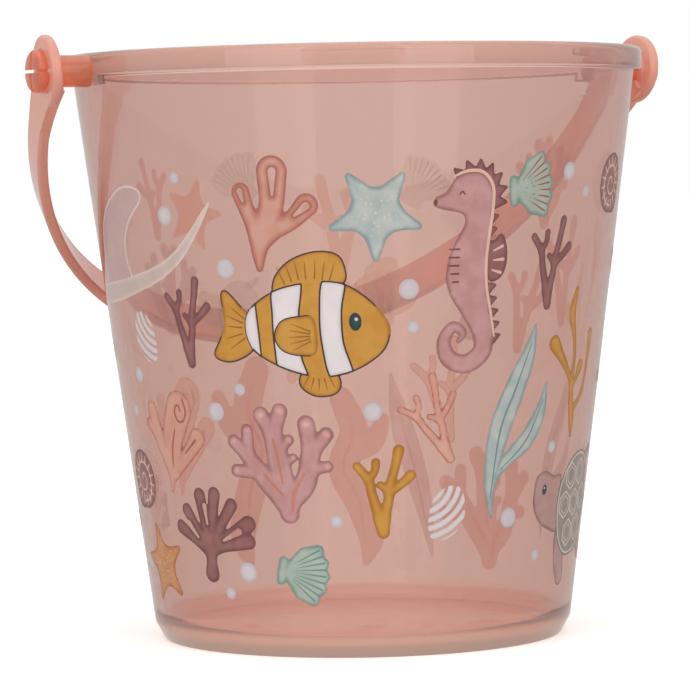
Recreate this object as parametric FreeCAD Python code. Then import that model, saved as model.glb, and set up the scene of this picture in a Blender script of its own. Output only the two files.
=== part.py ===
"""Sand bucket with a swinging bail: a tapered moulded shell, its printed film and its handle.

Origin at the middle of the base, +Z up, X along the pivot line of the bail.
The bail is drawn at rest, leaning back against the wall on the +Y side.
"""
import FreeCAD, Part
import math
import os

# ---- driving dimensions, in millimetres and degrees ----
HEIGHT = 162.0
RIM_RADIUS = 80.0
RIM_DEPTH = 6.5
RIM_ROUND = 1.6

WALL = 3.0
WALL_FOOT_RADIUS = 58.0          # outside of the wall where it leaves the base bevel
WALL_FOOT_HEIGHT = 4.8
WALL_TAPER = 7.5                 # lean of the wall from upright

BASE_RADIUS = 55.4
FOOT_RING_WIDTH = 4.5
FOOT_RECESS = 0.8
FLOOR = 2.8
FLOOR_CORNER = 6.0
GATE_RADIUS = 3.0
MARK_HEIGHT = 0.5                # how far the gate stub and the bar stand down from the floor
FLOOR_BAR_PLACE = (14.8, -18.0)  # middle of the short moulded bar under the floor
FLOOR_BAR_SIZE = (11.0, 1.6)
FLOOR_BAR_TURN = -30.0

FILM = 0.12
FILM_BOTTOM = 7.0
FILM_TOP = 148.0

PIVOT_HEIGHT = 157.0
BRACKET_HALF_WIDTH = 6.5
BRACKET_BOTTOM = 153.4
STUB_RADIUS = 4.3
STUB_END = 89.4
JOURNAL_RADIUS = 3.8
HEAD_RADIUS = 5.75
HEAD_START = 92.7
HEAD_END = 96.0
HEAD_ROUND = 1.2
SLOT_WIDTH = 0.9
SLOT_START = 88.5

BAIL_LEAN = 45.0                 # how far the bail hangs below level at rest
BAIL_HALF_SPAN = 90.0
BAIL_DEPTH = 104.0
STRAP = 3.0
STRAP_MIDDLE_WIDTH = 12.5
STRAP_END_WIDTH = 10.6
STRAP_ROUND = 0.8

EYE_MIDDLE = 91.0
EYE_RADIUS = 9.8
EYE_THICKNESS = 3.0
EYE_TOE_IN = 8.0                 # the eyes lean in towards the strap
EYE_ROUND = 1.2
RUNNING_FIT = 0.05
HEAD_GAP = 0.35
NECK_LENGTH = 17.0               # from the pivot to where the strap has its own width
NECK_ROOT_WIDTH = 15.7           # of the strap's side outline at the pivot

X_AXIS = FreeCAD.Vector(1, 0, 0)
Z_AXIS = FreeCAD.Vector(0, 0, 1)
ORIGIN = FreeCAD.Vector(0, 0, 0)
PIVOT = FreeCAD.Vector(0, 0, PIVOT_HEIGHT)


def wall_radius(height):
    """Outside radius of the tapered wall at a height."""
    return WALL_FOOT_RADIUS + (height - WALL_FOOT_HEIGHT) * math.tan(math.radians(WALL_TAPER))


def inner_radius(height):
    """Inside radius of the tapered wall at a height."""
    return wall_radius(height) - WALL / math.cos(math.radians(WALL_TAPER))


def meridian(points):
    """A closed face in the XZ half plane from (radius, height) corners."""
    corners = [FreeCAD.Vector(radius, 0, height) for radius, height in points]
    return Part.Face(Part.makePolygon(corners + corners[:1]))


def turned(points):
    """A solid of revolution about Z from (radius, height) corners."""
    return meridian(points).revolve(ORIGIN, Z_AXIS, 360)


def fillet_rings(solid, radius, places):
    """Round the circular edges that pass through (radius, height) places."""
    edges = []
    for edge in solid.Edges:
        for ring_radius, height in places:
            middle = edge.BoundBox.Center
            is_level = edge.BoundBox.ZLength < 0.01
            same_height = abs(middle.z - height) < 0.01
            same_radius = abs(edge.BoundBox.XMax - ring_radius) < 0.01
            if is_level and same_height and same_radius:
                edges.append(edge)
    return solid.makeFillet(radius, edges)


def cylinder_along_x(radius, start, end):
    """A cylinder on the pivot line, from X = start to X = end."""
    foot = FreeCAD.Vector(start, 0, PIVOT_HEIGHT)
    return Part.makeCylinder(radius, end - start, foot, X_AXIS)


def make_cup():
    """The tapered wall, floor and solid rim as one turned body."""
    rim_bottom = HEIGHT - RIM_DEPTH
    floor_top = FOOT_RECESS + FLOOR
    recess_radius = BASE_RADIUS - FOOT_RING_WIDTH
    outline = [
        (0, FOOT_RECESS),
        (recess_radius, FOOT_RECESS),
        (recess_radius, 0),
        (BASE_RADIUS, 0),
        (WALL_FOOT_RADIUS, WALL_FOOT_HEIGHT),
        (wall_radius(rim_bottom), rim_bottom),
        (RIM_RADIUS, rim_bottom),
        (RIM_RADIUS, HEIGHT),
        (inner_radius(HEIGHT), HEIGHT),
        (inner_radius(floor_top), floor_top),
        (0, floor_top),
    ]
    cup = turned(outline)
    cup = fillet_rings(cup, RIM_ROUND, [(RIM_RADIUS, HEIGHT), (inner_radius(HEIGHT), HEIGHT)])
    cup = fillet_rings(cup, RIM_ROUND / 2, [(RIM_RADIUS, rim_bottom)])
    cup = fillet_rings(cup, FLOOR_CORNER, [(inner_radius(floor_top), floor_top)])
    return fillet_rings(cup, RIM_ROUND / 2, [(BASE_RADIUS, 0)])


def film_ring(inside):
    """The band of wall surface that the film takes up, from a depth inside the surface."""
    outline = [
        (wall_radius(FILM_BOTTOM) - inside, FILM_BOTTOM),
        (wall_radius(FILM_BOTTOM), FILM_BOTTOM),
        (wall_radius(FILM_TOP), FILM_TOP),
        (wall_radius(FILM_TOP) - inside, FILM_TOP),
    ]
    return turned(outline)


def make_brackets():
    """The deeper bits of rim skirt that carry the pivots, one on each side."""
    ring = turned([
        (inner_radius(BRACKET_BOTTOM) + WALL / 2, BRACKET_BOTTOM),
        (RIM_RADIUS, BRACKET_BOTTOM),
        (RIM_RADIUS, HEIGHT - RIM_DEPTH / 2),
        (inner_radius(BRACKET_BOTTOM) + WALL / 2, HEIGHT - RIM_DEPTH / 2),
    ])
    slab = Part.makeBox(
        2.5 * RIM_RADIUS, 2 * BRACKET_HALF_WIDTH, HEIGHT,
        FreeCAD.Vector(-1.25 * RIM_RADIUS, -BRACKET_HALF_WIDTH, 0))
    return ring.common(slab)


def make_pin():
    """One pivot stub with its journal and split snap head, on the +X side."""
    stub = cylinder_along_x(STUB_RADIUS, RIM_RADIUS - WALL, STUB_END)
    journal = cylinder_along_x(JOURNAL_RADIUS, STUB_END, HEAD_START)
    head = cylinder_along_x(HEAD_RADIUS, HEAD_START, HEAD_END)
    outer_edges = [edge for edge in head.Edges if abs(edge.BoundBox.Center.x - HEAD_END) < 0.01]
    head = head.makeFillet(HEAD_ROUND, outer_edges)
    pin = stub.fuse([journal, head])
    long_slot = 2 * HEAD_RADIUS + 1
    slot_depth = HEAD_END - SLOT_START + 1
    upright = Part.makeBox(
        slot_depth, SLOT_WIDTH, long_slot,
        FreeCAD.Vector(SLOT_START, -SLOT_WIDTH / 2, PIVOT_HEIGHT - long_slot / 2))
    level = Part.makeBox(
        slot_depth, long_slot, SLOT_WIDTH,
        FreeCAD.Vector(SLOT_START, -long_slot / 2, PIVOT_HEIGHT - SLOT_WIDTH / 2))
    return pin.cut(upright).cut(level)


def both_sides(shape):
    """The shape and its mirror image across the YZ plane."""
    return [shape, shape.mirror(ORIGIN, X_AXIS)]


def make_floor_marks():
    """The gate stub and the short moulded bar inside the recess under the floor."""
    tip = FOOT_RECESS - MARK_HEIGHT
    rooted_height = MARK_HEIGHT + FLOOR / 2
    gate = Part.makeCylinder(GATE_RADIUS, rooted_height, FreeCAD.Vector(0, 0, tip))
    length, width = FLOOR_BAR_SIZE
    bar = Part.makeBox(length, width, rooted_height, FreeCAD.Vector(-length / 2, -width / 2, tip))
    bar.rotate(ORIGIN, Z_AXIS, FLOOR_BAR_TURN)
    bar.translate(FreeCAD.Vector(FLOOR_BAR_PLACE[0], FLOOR_BAR_PLACE[1], 0))
    return [gate, bar]


def make_bucket_shell():
    """The whole bucket moulding: cup, brackets, pivot pins and floor marks."""
    added = make_brackets().Solids + both_sides(make_pin()) + make_floor_marks()
    shell = make_cup().fuse(added).removeSplitter()
    return shell.cut(film_ring(FILM))


def make_print_film():
    """The thin printed film, flush with the outside of the wall."""
    return film_ring(FILM)


def ellipse_face(half_span, depth):
    """A filled ellipse in the level plane through the pivot line."""
    centre = FreeCAD.Vector(0, 0, PIVOT_HEIGHT)
    long_end = FreeCAD.Vector(0, depth, PIVOT_HEIGHT)
    short_end = FreeCAD.Vector(-half_span, 0, PIVOT_HEIGHT)
    curve = Part.Ellipse(long_end, short_end, centre)
    return Part.Face(Part.Wire(curve.toShape()))


def side_outline():
    """The strap as it is seen along X: narrow at the necks, wider in the middle."""
    root = NECK_ROOT_WIDTH / 2
    end = STRAP_END_WIDTH / 2
    middle = STRAP_MIDDLE_WIDTH / 2
    far = BAIL_DEPTH + STRAP
    corners = [
        (0, -root),
        (NECK_LENGTH, -end),
        (far, -middle),
        (far, middle),
        (NECK_LENGTH, end),
        (0, root),
    ]
    points = [
        FreeCAD.Vector(-BAIL_HALF_SPAN - STRAP, depth, PIVOT_HEIGHT + up) for depth, up in corners
    ]
    return Part.Face(Part.makePolygon(points + points[:1]))


def make_strap():
    """The arched strap, lying level towards +Y before it is leaned back."""
    outer = ellipse_face(BAIL_HALF_SPAN + STRAP / 2, BAIL_DEPTH + STRAP / 2)
    inner = ellipse_face(BAIL_HALF_SPAN - STRAP / 2, BAIL_DEPTH - STRAP / 2)
    band = outer.cut(inner)
    band.translate(Z_AXIS * -STRAP_MIDDLE_WIDTH)
    block = band.extrude(Z_AXIS * 2 * STRAP_MIDDLE_WIDTH)
    width = side_outline().extrude(X_AXIS * 2 * (BAIL_HALF_SPAN + STRAP))
    strap = block.common(width)
    long_edges = [edge for edge in strap.Edges if edge.Length > BAIL_DEPTH]
    return strap.makeFillet(STRAP_ROUND, long_edges)


def make_eye():
    """The ring at the +X end of the strap, toed in, before its bore is cut."""
    start = FreeCAD.Vector(-EYE_THICKNESS / 2, 0, 0)
    ring = Part.makeCylinder(EYE_RADIUS, EYE_THICKNESS, start, X_AXIS)
    rims = [edge for edge in ring.Edges if edge.BoundBox.XLength < 0.01]
    ring = ring.makeFillet(EYE_ROUND, rims)
    ring.rotate(ORIGIN, Z_AXIS, EYE_TOE_IN)
    ring.translate(FreeCAD.Vector(EYE_MIDDLE, 0, PIVOT_HEIGHT))
    return ring


def make_bores():
    """Room at the +X eye for the journal, the stub's shoulder and the snap head."""
    bore = cylinder_along_x(JOURNAL_RADIUS + RUNNING_FIT, 0.5 * EYE_MIDDLE, 1.5 * EYE_MIDDLE)
    shoulder_end = STUB_END + RUNNING_FIT
    shoulder = cylinder_along_x(STUB_RADIUS + HEAD_GAP, shoulder_end - STRAP, shoulder_end)
    head_start = HEAD_START - RUNNING_FIT
    head = cylinder_along_x(HEAD_RADIUS + HEAD_GAP, head_start, head_start + 2 * EYE_THICKNESS)
    return [bore, shoulder, head]


def make_hub():
    """A straight collar inside the toed-in eye, so that the bore is held squarely."""
    return cylinder_along_x(HEAD_RADIUS + HEAD_GAP, STUB_END + RUNNING_FIT, HEAD_START - RUNNING_FIT)


def make_bail_handle():
    """The bail in one piece, leaned back to its rest."""
    eyes = both_sides(make_eye()) + both_sides(make_hub())
    bail = make_strap().fuse(eyes)
    for bore in make_bores():
        for side in both_sides(bore):
            bail = bail.cut(side)
    bail.rotate(PIVOT, X_AXIS, -BAIL_LEAN)
    return bail


def main():
    os.makedirs("parts", exist_ok=True)
    nodes = {
        "bucket_shell": make_bucket_shell(),
        "print_film": make_print_film(),
        "bail_handle": make_bail_handle(),
    }
    for name, shape in nodes.items():
        shape.exportStep(os.path.join("parts", name + ".step"))
        box = shape.BoundBox
        print(name, shape.isValid(), len(shape.Solids), round(shape.Volume),
              [round(v, 2) for v in (box.XMin, box.YMin, box.ZMin, box.XMax, box.YMax, box.ZMax)])


main()
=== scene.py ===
"""Looks of the sand bucket: clear tinted plastic, a sea-life print on the wall, and the swinging bail.

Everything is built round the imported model. Lengths are written in millimetres and turned into
metres by MM. The front is the side that faces the camera; angles round the wall start there.
"""
import math
import random

import bpy
import numpy as np
from mathutils import Matrix, Vector

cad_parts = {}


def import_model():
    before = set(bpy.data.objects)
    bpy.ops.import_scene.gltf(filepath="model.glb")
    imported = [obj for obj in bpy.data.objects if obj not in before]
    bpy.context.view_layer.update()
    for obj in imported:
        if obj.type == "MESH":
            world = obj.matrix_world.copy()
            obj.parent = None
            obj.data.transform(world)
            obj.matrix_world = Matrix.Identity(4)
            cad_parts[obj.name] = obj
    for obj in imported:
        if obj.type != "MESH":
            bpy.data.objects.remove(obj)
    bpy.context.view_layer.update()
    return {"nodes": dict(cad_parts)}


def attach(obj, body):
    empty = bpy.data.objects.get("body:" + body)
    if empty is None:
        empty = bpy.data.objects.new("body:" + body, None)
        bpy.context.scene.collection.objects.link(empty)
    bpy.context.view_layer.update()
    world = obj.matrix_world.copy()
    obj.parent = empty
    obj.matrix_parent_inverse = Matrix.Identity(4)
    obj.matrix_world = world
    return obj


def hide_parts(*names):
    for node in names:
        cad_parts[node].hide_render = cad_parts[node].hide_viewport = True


MM = 0.001

# ---- the bucket's driving sizes, in millimetres and degrees ----
HEIGHT = 162.0
RIM_RADIUS = 80.0
RIM_DEPTH = 6.5
RIM_ROUND = 1.6
SKIRT_ROUND = 0.3
WALL = 3.0
FOOT_RADIUS = 58.0               # outside of the wall where it leaves the base bevel
FOOT_HEIGHT = 4.8
TAPER = math.radians(7.5)
BASE_RADIUS = 55.4
FOOT_RING_WIDTH = 4.5
FOOT_RECESS = 0.8
FOOT_ROUND = 0.4
BEVEL_ROUND = 2.0
FLOOR_TOP = 3.6
FLOOR_CORNER = 6.0
GATE_RADIUS = 3.0
MARK_HEIGHT = 0.5                # of the gate stub and of the bar under the floor
MARK_ROUND = 0.2
FLOOR_BAR_PLACE = (14.8, -18.0)
FLOOR_BAR_SIZE = (11.0, 1.6)
FLOOR_BAR_TURN = math.radians(-30)
FILM_BOTTOM = 7.0
FILM_TOP = 148.0
FILM_GROOVE = 0.02               # the film's edge shows as a fine groove this deep
GROOVE_HALF_WIDTH = 0.25

PIVOT_HEIGHT = 157.0
BRACKET_HALF_WIDTH = 6.5
BRACKET_BOTTOM = 153.4
STUB_RADIUS = 4.3
STUB_END = 89.4
JOURNAL_RADIUS = 3.8
HEAD_RADIUS = 5.75
HEAD_START = 92.7
HEAD_END = 96.0
HEAD_ROUND = 1.2
SLOT_WIDTH = 0.9
SLOT_START = 88.5
HEAD_DOME = 0.35                 # the head's face rises this much from its edge to its middle
PIN_ROOT = 0.4                   # the stub starts this deep in the rim

# ---- how finely the mouldings are turned ----
CRISP_ANGLE = 35.0               # edges sharper than this many degrees stay crisp
SHELL_SIDES = 288
PIN_SIDES = 64
FLOOR_BAR_SIDES = 24
BRACKET_STEP = math.radians(0.05)    # half the angle that a bracket's end face takes up

# ---- camera ----
FRONT = math.radians(-26.3)      # where the front is, turned from -Y towards +X
CAMERA_DISTANCE = 1009.0
CAMERA_HEIGHT = 127.7
AIM_RIGHT = -3.7                 # the camera looks at a point this far right of the axis
AIM_HEIGHT = 80.5
CAMERA_ROLL = math.radians(-1.02)
LENS = 188.7

# ---- light ----
ROOM_LIGHT = 0.70                # brightness of the room at eye level and below
CEILING_LIGHT = 1.1              # and at its brightest
CEILING_RISE = 0.8               # which is reached at this height on a sphere of radius 1
ROOM_COLOUR = (1.0, 0.968, 0.942)
FLOOR_HALF_WIDTH = 12.0          # in metres
LIGHT_AIM = (0.0, 0.0, 0.08)     # where every light points, in metres
# Lights: metres from the axis towards the camera, to its right and up; width, height; watts.
LIGHTS = {
    "softbox_left_wide": (1.3, -0.9, 0.55, 0.9, 1.4, 4.2),
    "softbox_left_core": (1.3, -0.9, 0.55, 0.35, 1.4, 2.2),
    "softbox_right_wide": (1.3, 0.85, 0.55, 0.8, 1.4, 3.4),
    "softbox_right_core": (1.3, 0.85, 0.55, 0.4, 1.4, 1.8),
    "softbox_top": (0.0, 0.0, 2.2, 2.0, 2.0, 8.0),
    "fill": (1.6, 0.0, 0.4, 1.6, 1.0, 6.5),
}

# ---- plastic: colours, and the share of the light that is scattered instead of passed ----
GRAIN = 90.0                     # scale of the noise that ripples the surface
GRAIN_DEPTH = 0.0012             # how deep the ripples are
SHELL_TINT = (0.92, 0.87, 0.84)
SHELL_HAZE = 0.055
BASE_TINT = (0.83, 0.57, 0.46)
BASE_HAZE = 0.31
BRACKET_FROST = 0.25             # how much more these places scatter than the clear wall
RIM_FROST = 0.2
BEVEL_FROST = 0.16
BEVEL_FADE = 2.0                 # height above the bevel over which its frost fades out

# ---- the print ----
FIRST_LIFT = 0.03                # the lowest layer of ink stands this far off the wall
LAYER_LIFT = 0.02                # and each layer over it this much further
FILL_CELL = 0.42                 # grid that filled areas are cut from
LINE_CELL = 0.22                 # grid for fine lines, and for everything drawn in these inks
LINE_INKS = ("black", "ochre", "cream", "vein")
CLOUDS = 230.0                   # scale of the noise that makes the ink cloudy
CLOUD_START = 0.38               # the noise where a pale patch starts, and where it is full
CLOUD_FULL = 0.64
BORDER_WANDER = 1.2              # the noise shifts the ink's darker border by up to this much
BORDER_START = 0.55              # and the border fades between these distances from the edge
BORDER_END = 1.9


def wall_radius(height):
    """Outside radius of the tapered wall at a height."""
    return FOOT_RADIUS + (height - FOOT_HEIGHT) * math.tan(TAPER)


def inner_radius(height):
    """Inside radius of the tapered wall at a height."""
    return wall_radius(height) - WALL / math.cos(TAPER)


def srgb(red, green, blue):
    """Linear colour from a display colour in 0 to 255."""
    shares = [value / 255 for value in (red, green, blue)]
    return tuple(s / 12.92 if s <= 0.04045 else ((s + 0.055) / 1.055) ** 2.4 for s in shares)


# ======== camera, floor and lights ========

def view_axes():
    """Level unit vectors: away from the camera, and to its right."""
    forward = Vector((-math.sin(FRONT), math.cos(FRONT), 0.0))
    return forward, Vector((forward.y, -forward.x, 0.0))


def make_camera():
    """The photograph's view: level with the upper wall, a long lens, the left pivot nearer."""
    forward, right = view_axes()
    place = -forward * CAMERA_DISTANCE + Vector((0, 0, CAMERA_HEIGHT))
    aim = right * AIM_RIGHT + Vector((0, 0, AIM_HEIGHT))
    camera = bpy.data.objects.new("camera", bpy.data.cameras.new("camera"))
    camera.data.lens = LENS
    camera.data.clip_end = 50.0
    turn = (aim - place).to_track_quat("-Z", "Y").to_matrix().to_4x4()
    camera.matrix_world = Matrix.Translation(place * MM) @ turn @ Matrix.Rotation(CAMERA_ROLL, 4, "Z")
    bpy.context.scene.collection.objects.link(camera)
    bpy.context.scene.camera = camera


def new_material(name):
    """A material whose node tree is still empty."""
    material = bpy.data.materials.new(name)
    material.use_nodes = True
    material.node_tree.nodes.clear()
    return material


def add_node(tree, kind, *values, options=None, **sockets):
    """A new shader node whose sockets take values or the outputs of other nodes.

    Sockets are given in their order, or by name with _ for a space.
    """
    node = tree.nodes.new("ShaderNode" + kind)
    for option, value in (options or {}).items():
        setattr(node, option, value)
    for key, value in [*enumerate(values), *sockets.items()]:
        socket = node.inputs[key.replace("_", " ") if isinstance(key, str) else key]
        if isinstance(value, bpy.types.NodeSocket):
            tree.links.new(value, socket)
        else:
            socket.default_value = value
    return node


def make_floor():
    """A wide pale floor that only the camera sees, so that the bucket is lit from below too."""
    half = FLOOR_HALF_WIDTH
    mesh = bpy.data.meshes.new("floor")
    mesh.from_pydata([(-half, -half, 0), (half, -half, 0), (half, half, 0), (-half, half, 0)], [],
                     [(0, 1, 2, 3)])
    floor = bpy.data.objects.new("floor", mesh)
    bpy.context.scene.collection.objects.link(floor)
    material = new_material("floor_paper")
    shader = add_node(material.node_tree, "BsdfPrincipled", Base_Color=(0.9, 0.9, 0.9, 1), Roughness=0.9,
                      Emission_Color=(1, 1, 1, 1), Emission_Strength=0.2)
    add_node(material.node_tree, "OutputMaterial", Surface=shader.outputs[0])
    mesh.materials.append(material)
    floor.visible_diffuse = False
    floor.visible_glossy = False
    floor.visible_transmission = False
    floor.visible_shadow = False


def area_light(name, place, size, power):
    """A rectangular light that faces the bucket; its place and size are in metres, its power in watts."""
    data = bpy.data.lights.new(name, "AREA")
    data.shape = "RECTANGLE"
    data.size, data.size_y = size
    data.energy = power
    light = bpy.data.objects.new(name, data)
    turn = (Vector(LIGHT_AIM) - place).to_track_quat("-Z", "Y").to_matrix().to_4x4()
    light.matrix_world = Matrix.Translation(place) @ turn
    bpy.context.scene.collection.objects.link(light)
    return light


def make_world():
    """A warm grey room that brightens upwards, in front of a backdrop that the camera sees as white."""
    world = bpy.data.worlds.new("studio")
    world.use_nodes = True
    tree = world.node_tree
    direction = add_node(tree, "TexCoord")
    split = add_node(tree, "SeparateXYZ", direction.outputs["Generated"])
    room = add_node(tree, "MapRange", Value=split.outputs["Z"], From_Min=0.0, From_Max=CEILING_RISE,
                    To_Min=ROOM_LIGHT, To_Max=CEILING_LIGHT)
    seen = add_node(tree, "LightPath").outputs["Is Camera Ray"]
    strength = add_node(tree, "Mix", Factor=seen, A=room.outputs[0], B=1.0)
    paint = add_node(tree, "Mix", options={"data_type": "RGBA"}, Factor=seen,
                     A=(*ROOM_COLOUR, 1), B=(1, 1, 1, 1))
    background = tree.nodes["Background"]
    tree.links.new(paint.outputs["Result"], background.inputs["Color"])
    tree.links.new(strength.outputs["Result"], background.inputs["Strength"])
    bpy.context.scene.world = world


def make_lights():
    """The room, a light overhead, and behind the camera a fill light and two soft boxes with bright cores."""
    make_world()
    forward, right = view_axes()
    for name, (towards, across, up, width, height, power) in LIGHTS.items():
        place = -forward * towards + right * across + Vector((0, 0, up))
        light = area_light(name, place, (width, height), power)
        light.visible_glossy = name != "fill"


# ======== materials ========

def surface_grain(tree, shader, roughness):
    """Fine moulding marks: a rippled gloss and a roughness that wanders a little."""
    place = add_node(tree, "TexCoord")
    ripple = add_node(tree, "TexNoise", Vector=place.outputs["Object"], Scale=GRAIN, Detail=3.0)
    bump = add_node(tree, "Bump", Strength=1.0, Distance=GRAIN_DEPTH * MM, Height=ripple.outputs["Fac"])
    spread = add_node(tree, "MapRange", Value=ripple.outputs["Fac"],
                      To_Min=roughness * 0.6, To_Max=roughness * 1.4)
    tree.links.new(bump.outputs["Normal"], shader.inputs["Normal"])
    tree.links.new(spread.outputs[0], shader.inputs["Roughness"])


# Clear plastics: the colour that white light has after a depth of plastic, that depth in millimetres,
# the colour and the share of the light that is scattered instead, and the roughness.
PLASTICS = {
    "shell_plastic": ((0.762, 0.526, 0.474), 6.2, SHELL_TINT, SHELL_HAZE, 0.02),
    "pin_plastic": ((0.78, 0.28, 0.14), 6.0, (0.80, 0.34, 0.19), 0.33, 0.05),
    "bail_plastic": ((0.92, 0.64, 0.55), 6.0, (0.75, 0.42, 0.33), 0.55, 0.06),
}


def clear_plastic(name):
    """Clear tinted plastic that colours the light by its depth and scatters a little of it."""
    passed, depth, tint, haze, roughness = PLASTICS[name]
    material = new_material(name)
    tree = material.node_tree
    body = add_node(tree, "BsdfPrincipled", Base_Color=(*tint, 1), IOR=1.49,
                    Transmission_Weight=1 - haze)
    surface_grain(tree, body, roughness)
    ghost = add_node(tree, "BsdfTransparent")
    path = add_node(tree, "LightPath")
    mix = add_node(tree, "MixShader", path.outputs["Is Shadow Ray"], body.outputs[0], ghost.outputs[0])
    strongest = max(-math.log(c) for c in passed)
    inside = add_node(tree, "VolumeAbsorption", Color=(*[1 + math.log(c) / strongest for c in passed], 1),
                      Density=strongest / (depth * MM))
    add_node(tree, "OutputMaterial", Surface=mix.outputs[0], Volume=inside.outputs[0])
    return material


def shell_material():
    """The bucket's plastic: it scatters more in the thick base, and where the mesh is marked as frosted."""
    material = clear_plastic("shell_plastic")
    tree = material.node_tree
    place = add_node(tree, "TexCoord")
    split = add_node(tree, "SeparateXYZ", place.outputs["Object"])
    rise = add_node(tree, "MapRange", options={"interpolation_type": "SMOOTHSTEP"}, Value=split.outputs["Z"],
                    From_Min=FLOOR_TOP * MM, From_Max=(FLOOR_TOP + FLOOR_CORNER) * MM,
                    To_Min=1 - BASE_HAZE, To_Max=1 - SHELL_HAZE)
    frost = add_node(tree, "Attribute", options={"attribute_name": "frost"})
    clear = add_node(tree, "Math", rise.outputs[0], frost.outputs["Fac"],
                     options={"operation": "SUBTRACT", "use_clamp": True})
    blend = add_node(tree, "MapRange", Value=clear.outputs[0],
                     From_Min=1 - BASE_HAZE, From_Max=1 - SHELL_HAZE)
    colour = add_node(tree, "Mix", options={"data_type": "RGBA"}, Factor=blend.outputs[0],
                      A=(*BASE_TINT, 1), B=(*SHELL_TINT, 1))
    body = tree.nodes["Principled BSDF"]
    tree.links.new(clear.outputs[0], body.inputs["Transmission Weight"])
    tree.links.new(colour.outputs["Result"], body.inputs["Base Color"])
    return material


# Inks: colour of the middle, of the border and of the cloudy patches, how much they cover,
# and what they pass when a picture is seen from behind through the far wall.
INKS = {
    "rose": ((183, 131, 114), (168, 106, 89), (185, 140, 127), 0.94, (0.93, 0.6, 0.52)),
    "rose_dark": ((166, 100, 86), (143, 76, 66), (172, 108, 96), 0.94, (0.84, 0.52, 0.45)),
    "mauve": ((166, 119, 116), (131, 84, 81), (175, 132, 132), 0.96, (0.76, 0.6, 0.6)),
    "plum": ((123, 75, 73), (92, 51, 51), (134, 87, 85), 0.97, (0.66, 0.46, 0.43)),
    "teal": ((148, 160, 160), (109, 130, 131), (168, 172, 167), 0.96, (0.82, 0.78, 0.76)),
    "green": ((140, 157, 144), (96, 122, 113), (154, 165, 155), 0.96, (0.86, 0.86, 0.82)),
    "gold": ((175, 121, 31), (146, 91, 19), (181, 131, 46), 0.98, (0.92, 0.74, 0.58)),
    "ochre": ((140, 88, 22), (131, 81, 18), (146, 93, 26), 0.98, (0.85, 0.7, 0.6)),
    "sand": ((177, 116, 64), (151, 86, 40), (182, 126, 79), 0.95, (0.97, 0.58, 0.45)),
    "white": ((207, 199, 200), (186, 177, 180), (199, 192, 196), 0.97, (0.93, 0.9, 0.89)),
    "cream": ((210, 177, 162), (205, 166, 150), (212, 182, 169), 0.9, (0.96, 0.9, 0.88)),
    "blush": ((192, 140, 122), (174, 112, 94), (197, 148, 131), 0.56, (0.94, 0.68, 0.6)),
    "mist": ((174, 149, 150), (166, 140, 139), (180, 157, 157), 0.6, (0.88, 0.86, 0.86)),
    "pearl": ((184, 170, 161), (199, 186, 179), (179, 163, 156), 0.8, (0.92, 0.9, 0.88)),
    "black": ((48, 34, 32), (44, 30, 28), (52, 38, 36), 0.98, (0.7, 0.62, 0.6)),
    "deep_teal": ((30, 62, 66), (20, 40, 44), (36, 70, 74), 1.0, (0.6, 0.6, 0.6)),
    "skin": ((157, 120, 115), (122, 86, 83), (165, 129, 124), 0.97, (0.84, 0.74, 0.7)),
    "moss": ((125, 113, 104), (85, 80, 74), (137, 123, 115), 0.97, (0.82, 0.8, 0.77)),
    "vein": ((108, 138, 132), (92, 122, 118), (118, 148, 140), 0.9, (0.8, 0.82, 0.8)),
    "tip": ((204, 158, 148), (184, 134, 126), (206, 166, 156), 0.9, (0.95, 0.86, 0.84)),
    "bubble": ((188, 183, 185), (168, 160, 166), (179, 174, 180), 0.92, (0.94, 0.91, 0.92)),
}


def ink(name):
    """Watercolour ink: darker at its border, cloudy inside; from behind it only tints the light."""
    fill, border_colour, cloud, cover, behind = INKS[name]
    material = new_material("ink_" + name)
    tree = material.node_tree
    rgb = {"data_type": "RGBA"}
    place = add_node(tree, "TexCoord")
    clouds = add_node(tree, "TexNoise", Vector=place.outputs["Object"], Scale=CLOUDS, Detail=4.0)
    patch = add_node(tree, "MapRange", Value=clouds.outputs["Fac"],
                     From_Min=CLOUD_START, From_Max=CLOUD_FULL)
    wash = add_node(tree, "Mix", options=rgb, Factor=patch.outputs[0],
                    A=(*srgb(*fill), 1), B=(*srgb(*cloud), 1))

    depth = add_node(tree, "Attribute", options={"attribute_name": "edge"})
    wander = add_node(tree, "Math", clouds.outputs["Fac"], BORDER_WANDER, depth.outputs["Fac"],
                      options={"operation": "MULTIPLY_ADD"})
    inward = add_node(tree, "MapRange", options={"interpolation_type": "SMOOTHSTEP"}, Value=wander.outputs[0],
                      From_Min=BORDER_START, From_Max=BORDER_END)
    tone = add_node(tree, "Mix", options=rgb, Factor=inward.outputs[0], A=(*srgb(*border_colour), 1),
                    B=wash.outputs["Result"])

    front = add_node(tree, "BsdfPrincipled", Base_Color=tone.outputs["Result"], Roughness=0.42, Alpha=cover)
    back = add_node(tree, "BsdfTransparent", Color=(*behind, 1))
    side = add_node(tree, "NewGeometry")
    mix = add_node(tree, "MixShader", side.outputs["Backfacing"], front.outputs[0], back.outputs[0])
    add_node(tree, "OutputMaterial", Surface=mix.outputs[0])
    return material


def give(obj, *materials):
    """Make these an object's only materials."""
    obj.data.materials.clear()
    for material in materials:
        obj.data.materials.append(material)


# ======== the mouldings ========

def add_piece(name, vertices, faces, smooth_below=CRISP_ANGLE):
    """A mesh object from vertices in millimetres; edges sharper than the angle stay crisp."""
    mesh = bpy.data.meshes.new(name)
    mesh.from_pydata([tuple(c * MM for c in v) for v in vertices], [], faces)
    mesh.shade_smooth()
    mesh.set_sharp_from_angle(angle=math.radians(smooth_below))
    piece = bpy.data.objects.new(name, mesh)
    bpy.context.scene.collection.objects.link(piece)
    return piece


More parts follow.
